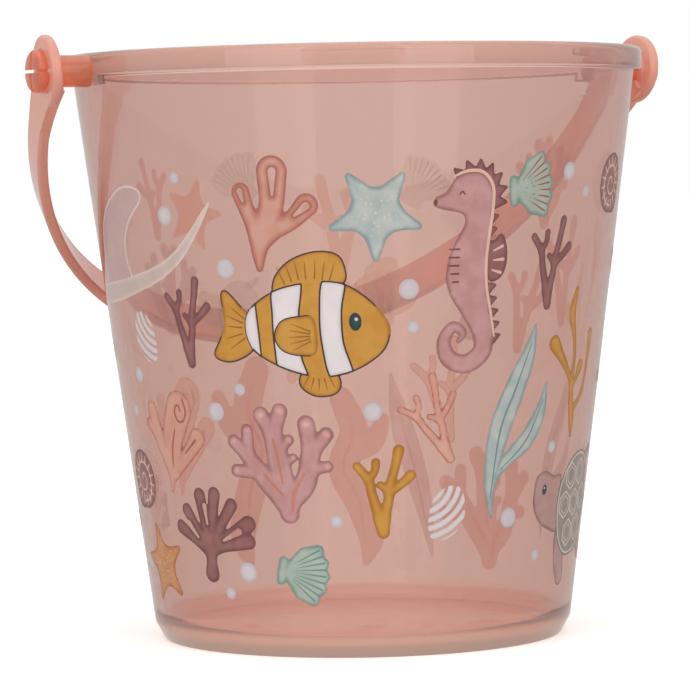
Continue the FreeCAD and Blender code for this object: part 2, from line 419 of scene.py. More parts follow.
def rounded(corners, step=12.0):
    """Points of an open outline whose (across, up, radius) corners are rounded, at a step in degrees."""
    points = []
    for index, (across, up, radius) in enumerate(corners):
        here = Vector((across, up))
        if radius == 0:
            points.append(tuple(here))
            continue
        before = (Vector(corners[index - 1][:2]) - here).normalized()
        after = (Vector(corners[index + 1][:2]) - here).normalized()
        half = before.angle(after) / 2
        centre = here + (before + after).normalized() * radius / math.sin(half)
        reach = radius / math.tan(half)
        start = here + before * reach - centre
        end = here + after * reach - centre
        first = math.atan2(start.y, start.x)
        sweep = (math.atan2(end.y, end.x) - first + math.pi) % (2 * math.pi) - math.pi
        count = max(2, math.ceil(abs(math.degrees(sweep)) / step))
        for k in range(count + 1):
            angle = first + sweep * k / count
            points.append((centre.x + radius * math.cos(angle), centre.y + radius * math.sin(angle)))
    return points


def braced(points, run=1.5, gap=0.3):
    """The outline with extra points near the ends of its long runs, which keep the shading flat between."""
    result = [points[0]]
    for start, end in zip(points, points[1:]):
        start, end = Vector(start), Vector(end)
        length = (end - start).length
        if length > run:
            result += [tuple(start.lerp(end, gap / length)), tuple(end.lerp(start, gap / length))]
        result.append(tuple(end))
    return result


def lathe(profiles, angles):
    """Vertices and faces of a closed turned body, with one outline of (radius, height) points per angle.

    All outlines have the same number of points and start and end on the axis.
    """
    vertices, faces = [], []
    inner_count = len(profiles[0]) - 2
    for profile, angle in zip(profiles, angles):
        for radius, height in profile[1:-1]:
            vertices.append((radius * math.cos(angle), radius * math.sin(angle), height))
    start, end = len(vertices), len(vertices) + 1
    vertices.append((0, 0, profiles[0][0][1]))
    vertices.append((0, 0, profiles[0][-1][1]))
    turns = len(angles)
    for a in range(turns):
        here, there = a * inner_count, (a + 1) % turns * inner_count
        faces.append((start, there, here))
        for k in range(inner_count - 1):
            faces.append((here + k, there + k, there + k + 1, here + k + 1))
        faces.append((end, here + inner_count - 1, there + inner_count - 1))
    return vertices, faces


def shell_profile(skirt):
    """Outline of the bucket from the gate stub under the floor, round the rim, to the floor inside."""
    recess_radius = BASE_RADIUS - FOOT_RING_WIDTH
    tip = FOOT_RECESS - MARK_HEIGHT
    grooves = []
    for edge in (FILM_BOTTOM, FILM_TOP):
        grooves += [
            (wall_radius(edge - GROOVE_HALF_WIDTH), edge - GROOVE_HALF_WIDTH, 0),
            (wall_radius(edge) - FILM_GROOVE, edge, 0),
            (wall_radius(edge + GROOVE_HALF_WIDTH), edge + GROOVE_HALF_WIDTH, 0),
        ]
    return braced(rounded([
        (0, tip, 0),
        (GATE_RADIUS, tip, MARK_ROUND),
        (GATE_RADIUS, FOOT_RECESS, MARK_ROUND),
        (recess_radius, FOOT_RECESS, FOOT_ROUND),
        (recess_radius, 0, FOOT_ROUND),
        (BASE_RADIUS, 0, RIM_ROUND / 2),
        (FOOT_RADIUS, FOOT_HEIGHT, BEVEL_ROUND),
        *grooves,
        (wall_radius(skirt), skirt, SKIRT_ROUND),
        (RIM_RADIUS, skirt, RIM_ROUND / 2),
        (RIM_RADIUS, HEIGHT, RIM_ROUND),
        (inner_radius(HEIGHT), HEIGHT, RIM_ROUND),
        (inner_radius(HEIGHT - RIM_DEPTH), HEIGHT - RIM_DEPTH, 0),
        (inner_radius(FLOOR_TOP), FLOOR_TOP, FLOOR_CORNER),
        (0, FLOOR_TOP, 0),
    ]))


def frost_at(radius, height):
    """Extra scattering on the shell: it grows over the rim's height, and is strong on the base bevel."""
    up_rim = (height - HEIGHT + RIM_DEPTH) / RIM_DEPTH
    down_bevel = (FOOT_HEIGHT + BEVEL_FADE - height) / BEVEL_FADE if radius > BASE_RADIUS - 1 else 0
    return RIM_FROST * min(1, max(0, up_rim)) + BEVEL_FROST * min(1, max(0, down_bevel))


def full_turn(count):
    """Evenly spaced angles round a circle."""
    return [2 * math.pi * k / count for k in range(count)]


def make_shell():
    """The bucket moulding: its skirt is deeper where the pivots stand, with frosted end faces there."""
    reach = math.asin(BRACKET_HALF_WIDTH / RIM_RADIUS)
    angles = full_turn(SHELL_SIDES)
    for side in (0, math.pi):
        for edge in (side - reach, side + reach):
            angles += [(edge - BRACKET_STEP) % (2 * math.pi), (edge + BRACKET_STEP) % (2 * math.pi)]
    angles.sort()
    plain, deep = shell_profile(HEIGHT - RIM_DEPTH), shell_profile(BRACKET_BOTTOM)
    at_bracket = [abs(math.sin(a)) < math.sin(reach) for a in angles]
    shell = add_piece("bucket_moulding", *lathe([deep if b else plain for b in at_bracket], angles))
    strip = len(shell.data.polygons) // len(angles)
    frost = shell.data.attributes.new("frost", "FLOAT", "CORNER")
    for corner in shell.data.loops:
        x, y, z = shell.data.vertices[corner.vertex_index].co / MM
        frost.data[corner.index].value = frost_at(math.hypot(x, y), z)
    # Where the skirt's depth changes, the faces outside the wall are the end faces of a bracket.
    for index, here in enumerate(at_bracket):
        if here != at_bracket[(index + 1) % len(angles)]:
            for polygon in shell.data.polygons[index * strip:(index + 1) * strip]:
                polygon.use_smooth = False
                x, y, z = polygon.center / MM
                if z < HEIGHT - 4 and math.hypot(x, y) > wall_radius(z) + 0.3:
                    for corner in polygon.loop_indices:
                        frost.data[corner].value = BRACKET_FROST
    return shell


def make_floor_bar():
    """The short moulded bar under the floor, a rounded rib."""
    length, width = FLOOR_BAR_SIZE
    root, tip = FOOT_RECESS - 0.02, FOOT_RECESS - MARK_HEIGHT
    profile = rounded([(0, root, 0), (width / 2, root, 0), (width / 2, tip, 0.3), (0, tip, 0)], 30)
    vertices, faces = lathe([profile] * FLOOR_BAR_SIDES, full_turn(FLOOR_BAR_SIDES))
    stretch = (length - width) / 2
    turn = Matrix.Rotation(FLOOR_BAR_TURN, 3, "Z")
    shift = Vector((*FLOOR_BAR_PLACE, 0))
    moved = []
    for x, y, z in vertices:
        if abs(x) > 1e-9:
            x += math.copysign(stretch, x)
        moved.append(tuple(turn @ Vector((x, y, z)) + shift))
    return add_piece("floor_bar", moved, [face[::-1] for face in faces])


def box_mesh(low, high):
    """Vertices and faces of an upright box."""
    corners = [(x, y, z) for x in (low[0], high[0]) for y in (low[1], high[1]) for z in (low[2], high[2])]
    faces = [(0, 1, 3, 2), (4, 6, 7, 5), (0, 4, 5, 1), (2, 3, 7, 6), (0, 2, 6, 4), (1, 5, 7, 3)]
    return corners, faces


def carve(piece, cutters):
    """Cut other pieces out of a piece, then remove them."""
    for cutter in cutters:
        change = piece.modifiers.new("cut", "BOOLEAN")
        change.operation = "DIFFERENCE"
        change.solver = "EXACT"
        change.object = cutter
    bpy.context.view_layer.update()
    result = bpy.data.meshes.new_from_object(piece.evaluated_get(bpy.context.evaluated_depsgraph_get()))
    piece.modifiers.clear()
    piece.data = result
    for cutter in cutters:
        bpy.data.objects.remove(cutter)


def make_pin(side):
    """A pivot stub with its journal and its domed snap head, split crosswise."""
    root = RIM_RADIUS - PIN_ROOT
    profile = rounded([
        (0, root, 0),
        (STUB_RADIUS, root, 0),
        (STUB_RADIUS, STUB_END, 0.3),
        (JOURNAL_RADIUS, STUB_END, 0),
        (JOURNAL_RADIUS, HEAD_START, 0),
        (HEAD_RADIUS, HEAD_START, 0.25),
        (HEAD_RADIUS, HEAD_END - HEAD_DOME, HEAD_ROUND),
        (HEAD_RADIUS * 0.55, HEAD_END - 0.05, 2.0),
        (0, HEAD_END, 0),
    ], 18)
    vertices, faces = lathe([profile] * PIN_SIDES, full_turn(PIN_SIDES))
    upright = [(side * z, y, PIVOT_HEIGHT - side * x) for x, y, z in vertices]
    pin = add_piece("pivot_pin_" + ("right" if side > 0 else "left"), upright, faces)
    ends = sorted((side * SLOT_START, side * (HEAD_END + 2)))
    half, reach = SLOT_WIDTH / 2, HEAD_RADIUS + 1
    cutters = []
    for across, up in ((half, reach), (reach, half)):
        low = (ends[0], -across, PIVOT_HEIGHT - up)
        high = (ends[1], across, PIVOT_HEIGHT + up)
        cutters.append(add_piece("slot", *box_mesh(low, high)))
    carve(pin, cutters)
    pin.data.shade_smooth()
    pin.data.set_sharp_from_angle(angle=math.radians(CRISP_ANGLE))
    return pin


# ======== drawing with distance fields ========
# A field takes arrays x, y in millimetres and gives the distance to a border, negative inside.

def along(x, y, start, end):
    """How far each point lies along a straight piece, from 0 to 1, and how far from it."""
    dx, dy = end[0] - start[0], end[1] - start[1]
    t = np.clip(((x - start[0]) * dx + (y - start[1]) * dy) / (dx * dx + dy * dy + 1e-12), 0, 1)
    return t, np.hypot(x - start[0] - t * dx, y - start[1] - t * dy)


def polar(degrees, reach, centre=(0, 0)):
    """The point at a distance from a centre, in a direction in degrees."""
    angle = math.radians(degrees)
    return centre[0] + reach * math.cos(angle), centre[1] + reach * math.sin(angle)


def smooth_path(rows, closed=False, steps=5):
    """Rows of a smooth curve through the given rows of numbers."""
    p = np.array(rows, float)
    if closed:
        q = np.vstack([p[-1:], p, p[:2]])
    else:
        q = np.vstack([2 * p[0] - p[1], p, 2 * p[-1] - p[-2]])
    t = np.arange(steps)[:, None] / steps
    spans = []
    for a, b, c, d in zip(q, q[1:], q[2:], q[3:]):
        square, cube = 2 * a - 5 * b + 4 * c - d, 3 * b - a - 3 * c + d
        spans.append(b + 0.5 * ((c - a) * t + square * t ** 2 + cube * t ** 3))
    return np.vstack(spans) if closed else np.vstack(spans + [p[-1:]])


def oval(cx, cy, rx, ry, turn=0.0):
    """An ellipse about (cx, cy), turned by degrees."""
    c, s = math.cos(math.radians(turn)), math.sin(math.radians(turn))

    def field(x, y):
        u = ((x - cx) * c + (y - cy) * s) / rx
        v = ((y - cy) * c - (x - cx) * s) / ry
        return (np.hypot(u, v) - 1) * min(rx, ry)
    return field


def disc(cx, cy, radius):
    """A circle about (cx, cy)."""
    return oval(cx, cy, radius, radius)


def limb(*rows, steps=4):
    """A smooth bent limb through (x, y, radius) rows."""
    path = smooth_path(rows, steps=steps) if len(rows) > 2 else np.array(rows, float)

    def field(x, y):
        best = np.full(x.shape, 1e9)
        for start, end in zip(path, path[1:]):
            share, distance = along(x, y, start, end)
            best = np.minimum(best, distance - start[2] - share * (end[2] - start[2]))
        return best
    return field


def outline(*points, sharp=False):
    """The inside of a closed outline through the points."""
    ring = np.array(points, float) if sharp else smooth_path(points, closed=True)

    def field(x, y):
        best = np.full(x.shape, 1e9)
        inside = np.zeros(x.shape, bool)
        for start, end in zip(ring, np.roll(ring, -1, axis=0)):
            best = np.minimum(best, along(x, y, start, end)[1])
            crossed = (start[1] > y) != (end[1] > y)
            dx, dy = end - start
            inside ^= crossed & (x < (y - start[1]) * dx / (dy if dy else 1e-12) + start[0])
        return np.where(inside, -best, best)
    return field


def join(*fields, soft=0.0):
    """Everything in any of the fields; soft rounds the inner corners where they meet."""
    def field(x, y):
        total = fields[0](x, y)
        for other in fields[1:]:
            value = other(x, y)
            if soft:
                h = np.clip(0.5 + 0.5 * (value - total) / soft, 0, 1)
                total = value * (1 - h) + total * h - soft * h * (1 - h)
            else:
                total = np.minimum(total, value)
        return total
    return field


def overlap(*fields):
    """Only what lies in all of the fields."""
    return lambda x, y: np.maximum.reduce([field(x, y) for field in fields])


def cut(field, *holes):
    """The field without the holes."""
    return lambda x, y: np.maximum.reduce([field(x, y)] + [-hole(x, y) for hole in holes])


def grown(field, by):
    """The field made wider all round, or narrower where `by` is negative."""
    return lambda x, y: field(x, y) - by


def border(field, width):
    """A line of the given width just inside the border."""
    return lambda x, y: np.abs(field(x, y) + width / 2) - width / 2


def turned_field(field, turn, scale, mirror):
    """The field turned by degrees, scaled, and mirrored first if asked."""
    c, s = math.cos(math.radians(turn)), math.sin(math.radians(turn))

    def moved(x, y):
        u = (x * c + y * s) / scale
        v = (y * c - x * s) / scale
        return field(-u if mirror else u, v) * scale
    return moved


def area_mesh(field, half_width, half_height, cell):
    """Points (x, y), faces and depths from the border, for the area where the field is negative."""
    xs = np.arange(-half_width, half_width + cell, cell)
    ys = np.arange(-half_height, half_height + cell, cell)
    gx, gy = np.meshgrid(xs, ys)
    value = field(gx, gy)
    value = np.where(np.abs(value) < 1e-6, -1e-6, value)
    inside = value < 0
    number = np.full(value.shape, -1)
    number[inside] = np.arange(inside.sum())
    points = np.column_stack([gx[inside], gy[inside]]).tolist()
    depths = (-value[inside]).tolist()
    corners = [inside[:-1, :-1], inside[:-1, 1:], inside[1:, 1:], inside[1:, :-1]]
    count = sum(c.astype(int) for c in corners)
    rows, columns = np.nonzero(count == 4)
    faces = np.column_stack([
        number[rows, columns], number[rows, columns + 1],
        number[rows + 1, columns + 1], number[rows + 1, columns]]).tolist()
    crossings = {}

    def crossing(a, b):
        key = (a, b) if a < b else (b, a)
        if key not in crossings:
            share = value[a] / (value[a] - value[b])
            points.append([gx[a] + share * (gx[b] - gx[a]), gy[a] + share * (gy[b] - gy[a])])
            depths.append(0.0)
            crossings[key] = len(points) - 1
        return crossings[key]

    for r, c in zip(*np.nonzero((count > 0) & (count < 4))):
        r, c = int(r), int(c)
        around = [(r, c), (r, c + 1), (r + 1, c + 1), (r + 1, c)]
        face = []
        for a, b in zip(around, around[1:] + around[:1]):
            if inside[a]:
                face.append(int(number[a]))
            if inside[a] != inside[b]:
                face.append(crossing(a, b))
        faces.append(face)
    return points, faces, depths


def on_wall(x, y, lift, azimuth, height):
    """A point x right of and y above a place on the wall, stood off by a lift."""
    up = height + y * math.cos(TAPER)
    radius = wall_radius(up)
    angle = azimuth + FRONT + x / radius
    out = radius + lift * math.cos(TAPER)
    return out * math.sin(angle), -out * math.cos(angle), up - lift * math.sin(TAPER)


def print_motif(name, inks, motif, azimuth, height, turn=0.0, scale=1.0, mirror=False):
    """One printed picture: thin layers of ink over each other on the wall."""
    half_width, half_height, layers = motif
    if turn:
        half_width = half_height = math.hypot(half_width, half_height)
    vertices, faces, depths, slots = [], [], [], []
    used = []
    for level, (ink_name, field) in enumerate(layers):
        cell = LINE_CELL if ink_name in LINE_INKS or level > 1 else FILL_CELL
        points, areas, inward = area_mesh(
            turned_field(field, turn, scale, mirror), half_width * scale, half_height * scale, cell)
        first = len(vertices)
        lift = FIRST_LIFT + level * LAYER_LIFT
        vertices += [on_wall(x, y, lift, math.radians(azimuth), height) for x, y in points]
        faces += [[first + corner for corner in area] for area in areas]
        depths += inward
        if ink_name not in used:
            used.append(ink_name)
        slots += [used.index(ink_name)] * len(areas)
    piece = add_piece(name, vertices, faces, smooth_below=180.0)
    edge = piece.data.attributes.new("edge", "FLOAT", "POINT")
    edge.data.foreach_set("value", depths)
    give(piece, *[inks[ink_name] for ink_name in used])
    piece.data.polygons.foreach_set("material_index", slots)
    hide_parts("print_film")
    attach(piece, "bucket")
    return piece


# ======== the pictures: half width, half height and layers of (ink, field) ========

def rays(centre, inner, outer, directions, thick):
    """Short straight strokes that fan out from a centre, at directions in degrees."""
    return join(*[limb((*polar(degrees, inner, centre), thick), (*polar(degrees, outer, centre), thick * 0.4))
                  for degrees in directions])


def fish():
    """A banded reef fish that swims to the right."""
    trunk = outline((22.5, -2.5), (20, -8), (12, -13), (2, -14.5), (-9, -11.5), (-17, -6), (-18, 3),
                    (-10, 9.5), (1, 12), (10, 11.5), (17, 7), (21.5, 1.5))
    back_fin = outline((-9, 8), (-9.5, 13), (-5, 18), (2, 20.5), (8, 20), (10.5, 17), (10.3, 11.5), (1, 10.5))
    belly_fin = outline((-2, -13), (-3.2, -17), (1, -20), (6.5, -19.5), (8.5, -16.5), (6.5, -13))
    tail = outline((-16.5, 1.5), (-20, 6), (-24, 9.8), (-26, 8.5), (-25.2, 1), (-26.5, -3),
                   (-29, -8.5), (-24, -10.5), (-18, -8.5), (-15.5, -5))
    side_fin = outline((-10, -3), (-8, 1.2), (-3, 2.6), (1.5, 1.8), (2, -7.5), (-3, -8.6), (-8, -7))
    whole = join(trunk, back_fin, belly_fin, tail, soft=0.6)
    front_band = overlap(grown(trunk, -0.15), outline(
        (4.5, 12.5), (10.3, 12.5), (9.2, 4), (9.4, -5), (11.6, -14), (5.8, -15), (3.6, -6), (3.2, 3)))
    middle_band = overlap(grown(trunk, -0.15), outline(
        (-9.6, 10.5), (-2, 12.5), (-2.8, 2), (-2.6, -8), (-1, -15), (-8.4, -13), (-9.9, -6), (-10.2, 3)))
    tail_band = overlap(grown(trunk, 0.0), outline(
        (-20, 6), (-15.2, 6.2), (-14.6, -1), (-14, -9), (-19, -7), (-18.6, -1), sharp=True))
    bands = join(front_band, middle_band, tail_band)
    lines = join(
        cut(overlap(border(grown(bands, 0.3), 0.5), grown(trunk, 0.1)), side_fin),
        overlap(border(whole, 0.4), lambda x, y: 4 - np.abs(y - 1) + 0 * x),
        cut(border(side_fin, 0.35), lambda x, y: 0.2 - x))
    strokes = join(
        rays((1, -4), 17, 22.5, (72, 79, 86, 94, 101, 108, 115), 0.22),
        rays((-15, -1), 4.6, 10, (142, 158, 175, 196, 214), 0.24),
        rays((3.5, -3), 3.4, 9.2, (158, 170, 182, 194, 206), 0.24),
        rays((2.5, -9), 6, 9.6, (240, 254, 268, 282, 296), 0.22))
    return 31, 23, [
        ("gold", whole),
        ("white", bands),
        ("gold", side_fin),
        ("black", lines),
        ("ochre", strokes),
        ("deep_teal", oval(12.9, 0.8, 1.7, 2.5)),
        ("white", disc(13.2, 1.5, 0.5)),
    ]


def sea_star(body_ink, dot_ink):
    """A five-armed star with rows of small dots."""
    arms, dots = [], []
    for k in range(5):
        angle = math.radians(90 + 72 * k)
        c, s = math.cos(angle), math.sin(angle)
        arms.append(limb((0, 0, 4.8), (6 * c, 6 * s, 2.9), (11.8 * c, 11.8 * s, 1.0)))
        for step, size in ((2.6, 0.34), (4.4, 0.3), (6.2, 0.28), (8, 0.24), (9.6, 0.2)):
            for lean in (-0.16, 0.16):
                reach = step + 0.9 * (lean > 0)
                dots.append(disc(reach * math.cos(angle + lean), reach * math.sin(angle + lean), size))
    dots.append(disc(0, 0, 0.4))
    return 13.5, 13.5, [(body_ink, join(*arms, soft=2.6)), (dot_ink, join(*dots))]


def seahorse():
    """An upright seahorse that looks left, with a curled tail."""
    head = outline((-1, 26), (3.5, 25.5), (6.5, 22), (6.6, 16), (4, 11), (0, 13.2), (-3, 15), (-8, 16),
                   (-10.4, 17.2), (-9.9, 19.2), (-7, 20.6), (-4.5, 24.2))
    trunk = limb((3.2, 18, 4.2), (2.6, 11, 4.1), (0.5, 3, 5.6), (0, -3, 6.0), (2.6, -10, 4.6),
                 (5.6, -17, 3.2))
    tail = limb((5.6, -17, 3.2), (5.4, -22.5, 2.9), (0.8, -25.8, 2.6), (-4.4, -24.2, 2.4), (-6, -19.5, 2.0),
                (-3.6, -15.8, 1.6), (-0.6, -17.4, 1.2), (-1.8, -19.6, 0.7), steps=6)
    body = join(head, trunk, tail, soft=1.2)
    crest = [limb((1.6 + 6.4 * math.cos(t), 19.4 + 6.6 * math.sin(t), 2.1),
                  (1.6 + 9.6 * math.cos(t + 0.06), 19.4 + 9.6 * math.sin(t + 0.06), 0.5))
             for t in (math.radians(degrees) for degrees in (128, 104, 80, 57, 34, 10, -14))]
    ridge = [limb((x, y, 1.9), (x + 2.4, y + 0.8, 0.5)) for x, y in
             ((6.2, 13.2), (5.8, 9.8), (6.2, -5.6), (6.6, -9), (7.2, -12.4), (7.8, -15.8), (8.2, -19.2))]
    fin = outline((5.6, 7), (7.8, 7.4), (10.2, 9.2), (12, 5.6), (12, 0.4), (10, -3), (6.6, -3.4), (5.4, 1))
    fin_cuts = join(limb((7.8, 4.6, 0.2), (10.6, 5.8, 0.42)), limb((7.8, 2, 0.2), (10.9, 2.2, 0.45)),
                    limb((7.4, -0.6, 0.2), (10.2, -1.4, 0.42)))
    back_line = limb((-4.6, 24.9, 0.3), (-1, 26.2, 0.42), (3.6, 25.8, 0.45), (6.8, 22, 0.48), (7, 15.6, 0.48),
                     (6.2, 9, 0.45), (5.6, 2, 0.45), (6, -5, 0.42), (7.6, -12, 0.38), (9, -18.6, 0.25))
    strokes = join(*[limb((-5.4 - 0.2 * k + 0.12 * k * k, 5.2 - 2.2 * k, 0.2), (-2.6, 5.2 - 2.2 * k, 0.28))
                     for k in range(5)])
    face = join(limb((-3.2, 19.8, 0.16), (-2.4, 20.7, 0.24), (-1.5, 19.9, 0.16)), oval(-9.8, 17.9, 0.5, 0.8))
    return 15, 31, [
        ("plum", join(*crest, *ridge, fin, soft=0.4)),
        ("mauve", body),
        ("cream", join(back_line, fin_cuts)),
        ("plum", join(strokes, face)),
    ]


def hollow_coral():
    """A soft coral of three looped fingers."""
    body = join(
        limb((-4.8, -14.6, 1.0), (-4.6, -9.5, 2.4), (-3.4, -4.5, 3.6)),
        limb((-3.2, -5, 3.2), (-0.6, 2, 3.4), (0, 10.8, 4.2)),
        limb((-4.6, -6, 2.4), (-7.2, 0, 2.2), (-9, 5.4, 2.6)),
        limb((-2.4, -5.5, 2.6), (4, -2.6, 2.4), (8.8, 1.8, 3.1)), soft=1.8)
    holes = [limb((-0.2, 4.6, 0.35), (0.1, 10.8, 1.1)), limb((-8.5, 3, 0.35), (-9.3, 5.8, 0.85)),
             limb((5.4, -0.9, 0.35), (8.7, 1.6, 1.0))]
    inside = cut(grown(body, -0.55), *[grown(hole, 0.5) for hole in holes])
    return 14, 17, [("rose_dark", cut(body, *holes)), ("rose", inside)]


def twig_coral(body_ink, thick=1.0):
    """A forked coral twig."""
    stems = [
        ((0.4, -11.5, 1.3), (0, -7.5, 1.9)),
        ((-0.6, -7.5, 1.2), (-2.6, -1, 1.05), (-3.6, 3, 1.0), (-6.6, 6.8, 0.95)),
        ((-3.6, 3, 0.95), (-1.9, 5.4, 0.85), (-1.6, 7.8, 0.95)),
        ((0.6, -7.5, 1.2), (1.8, -2.6, 1.1), (2, 0.6, 1.1), (3.6, 6.4, 1.0), (4.6, 11, 1.2)),
        ((2, -0.6, 1.0), (5.4, 1.8, 1.0), (7.8, 4, 1.15)),
        ((1.9, -0.4, 0.9), (-0.4, 1.6, 0.8)),
    ]
    thickened = [[(x, y, radius * thick) for x, y, radius in stem] for stem in stems]
    return 10.5, 14, [(body_ink, join(*[limb(*stem) for stem in thickened], soft=0.7))]


def big_coral(body_ink, tip_ink):
    """A stout coral with round-ended stubs."""
    stubs = [((-9.6, 1.4), (-13.4, 5.2), 1.9), ((-9, 2), (-9.2, 8.2), 1.8), ((-8.4, -3), (-13, -2.6), 1.8),
             ((-2.2, 8), (-4.8, 12.4), 2.3), ((-1.4, 8), (0.6, 13.4), 2.2), ((-0.6, 2.6), (2.6, 5.8), 1.5),
             ((0.4, -1), (3.6, 1), 1.2), ((8.4, 4), (7.6, 10), 2.4), ((9, 2.6), (12.8, 7.2), 2.0),
             ((8.6, -2), (12.6, -1.4), 1.6)]
    main = [limb((1.6, -14, 2.7), (1.2, -10, 3.6)),
            limb((0.6, -10.4, 3.2), (-4.4, -5, 2.9), (-9.4, 1.6, 2.2)),
            limb((0.8, -10, 3.4), (-0.4, -1, 3.2), (-1.8, 8, 2.7)),
            limb((2, -10.5, 3.2), (6.6, -5.4, 3.0), (8.6, 3.6, 2.6))]
    tips = [oval(bx, by, r * 0.55, r * 0.42, math.degrees(math.atan2(by - ay, bx - ax)) + 90)
            for (ax, ay), (bx, by), r in stubs]
    body = join(*main, *[limb((*a, r), (*b, r)) for a, b, r in stubs], soft=0.9)
    shade = join(limb((2.6, -13, 0.4), (3.2, -8.6, 0.5), (6.2, -3.4, 0.35)),
                 limb((0, -9, 0.3), (-4.8, -3.6, 0.4)),
                 limb((0.2, -6, 0.25), (-0.8, 1, 0.4), (-1.8, 6, 0.25)))
    return 17, 19.5, [(body_ink, body), (tip_ink, join(*tips)), ("rose", shade)]


def fan_coral():
    """A dark fan of flat lobes with long holes."""
    lobes = [((-4, -5), (-13.4, 0.2), 2.0), ((-4, -4), (-10.2, 5), 1.9), ((-3, -3), (-4.6, 9.2), 2.1),
             ((-2, -3), (0.8, 9.8), 2.0), ((-1, -3), (6.2, 7), 1.9), ((0, -4), (11, 2), 2.3),
             ((0, -5), (10.6, -2.8), 2.1)]
    body = join(limb((-2.7, -12, 2.5), (-2.5, -8.6, 1.9), (-2.4, -5, 2.6)), oval(-2.2, -3.6, 5, 3.2),
                *[limb((*a, 1.3), (*b, r)) for a, b, r in lobes], soft=1.2)
    holes = [limb((-6.6, -2.4, 0.35), (-10, 1.4, 0.85)), limb((-2.7, 1.4, 0.35), (-3.2, 6.6, 0.7)),
             limb((2.4, -2.8, 0.35), (7.8, -0.2, 1.0))]
    return 16, 14.5, [("plum", cut(body, *holes))]


def twist_coral():
    """A pale coral bush with a spiral drawn in its top."""
    body = join(
        limb((-3.6, -14.2, 0.7), (-2.4, -8.5, 1.9)),
        limb((-2.6, -9, 1.9), (-6.4, -1, 2.4), (-9, 8, 2.3)),
        limb((-2, -8.6, 2.4), (-0.6, 0.5, 4.4), (3.4, 8.4, 5.0)),
        limb((-1, -9, 2), (5.4, -3.6, 2.2), (9.4, 0.6, 2.8)),
        limb((-8, 1, 1.6), (-11.4, 4, 1.5)), soft=1.2)
    coil = [(3.4 + (0.5 + 0.32 * k) * math.cos(k * 0.9), 7.8 + (0.8 + 0.42 * k) * math.sin(k * 0.9), 0.3)
            for k in range(9)]
    stem = limb((-2, -8, 0.2), (-1, -2, 0.35), (1, 3, 0.2))
    branch = limb((4, -3.8, 0.2), (8.6, 0, 0.4))
    return 14, 17, [
        ("blush", body),
        ("rose_dark", join(limb(*coil), stem, branch, border(body, 0.3))),
    ]


def scallop(body_ink, rib_ink):
    """A ribbed fan shell with its hinge at the left."""
    def fan(x, y):
        angle = np.arctan2(y, x + 6.4)
        return np.hypot(x + 6.4, y) - 14.2 - 0.4 * np.cos(angle * 20)
    wedge = outline((-7, -1.8), (-5.4, 2.4), (-1.4, 7.6), (4, 9.4), (12, 9.4), (12, -9.4), (4, -9.4),
                    (-1.4, -7.6), (-5.4, -2.4), sharp=True)
    hinge = outline((-7.8, -3.8), (-7.4, 3.8), (-4.6, 3.2), (-4.8, -3.2))
    ribs = [limb((*polar(degrees, 4, (-6.4, 0)), 0.08), (*polar(degrees, 13.2, (-6.4, 0)), 0.3))
            for degrees in range(-36, 37, 9)]
    return 9.5, 11.5, [(body_ink, join(overlap(fan, wedge), hinge, soft=0.8)), (rib_ink, join(*ribs))]


def spiral_shell():
    """A coiled shell seen from the side."""
    coil = limb(*[((0.7 + 0.36 * k) * math.cos(k * 0.7), (0.7 + 0.36 * k) * math.sin(k * 0.7), 0.26)
                  for k in range(17)])
    marks = rays((0, 0), 4.4, 7.4, range(0, 360, 24), 0.4)
    body = join(disc(0, 0, 8.2), oval(4.6, -5.4, 3.4, 2.6, 40), soft=1.0)
    return 10, 10, [("plum", body), ("cream", join(coil, cut(marks, disc(0, 0, 4.6))))]


def striped_shell():
    """A pale shell drawn as curved stripes."""
    body = outline((-4.6, -4.2), (-4, 3), (-0.4, 7), (3.6, 6.8), (5.2, 2.6), (4.6, -2.4), (1, -6),
                   (-2.4, -6.6))

    def stripes(x, y):
        return np.abs(np.hypot(x + 6.5, y - 8.5) % 2.2 - 1.1) - 0.68
    return 7.5, 8, [("white", overlap(body, stripes))]


def manta():
    """A gliding ray, half clear, with a pale rim and a long curved tail."""
    wing = outline((-27, -6), (-24.5, 3), (-20, 8.5), (-14.4, 12), (-8, 14.8), (-1.5, 15.2), (2.4, 13.4),
                   (1.6, 10.4), (-4, 6), (-8, 0.6), (-8.4, -5), (-6.8, -10.4), (-14, -13), (-25, -14))
    tail = limb((-32, -14.5, 2.6), (-20, -13.8, 2.8), (-9, -12.2, 2.5), (4, -9, 2.1), (13, -4.8, 1.7),
                (20, 1.4, 1.2), (25, 7.4, 0.7), (27.4, 10.4, 0.2), steps=6)
    return 35, 18.5, [("mist", wing), ("pearl", join(tail, border(wing, 0.7), soft=0.3))]


def long_leaf(leaf_ink, vein_ink):
    """One long bent leaf."""
    leaf = limb((-7, -27, 0.4), (-4.6, -14, 2.6), (-0.6, 0, 3.6), (3.6, 13, 3.2), (7, 27, 0.4), steps=6)
    vein = limb((-6, -22, 0.14), (-0.6, 0, 0.28), (5.6, 20, 0.14), steps=6)
    return 10, 29, [(leaf_ink, leaf), (vein_ink, vein)]


def kelp():
    """A broad wavy ribbon of kelp with one side lobe."""
    ribbon = limb((4, -29, 1.5), (6, -20, 4.6), (2, -8, 5.2), (-3.6, 4, 5.4), (0.6, 16, 5.2), (-3.6, 28, 4.2),
                  steps=6)
    lobe = limb((-3, 8, 3), (7, 12, 3.6), (11, 20, 2.8))
    vein = limb((4.6, -25, 0.2), (2, -8, 0.4), (-3.4, 4, 0.4), (0.4, 16, 0.4), (-3, 26, 0.2), steps=6)
    return 15, 33, [("rose_dark", join(ribbon, lobe, soft=2.0)), ("rose", vein)]


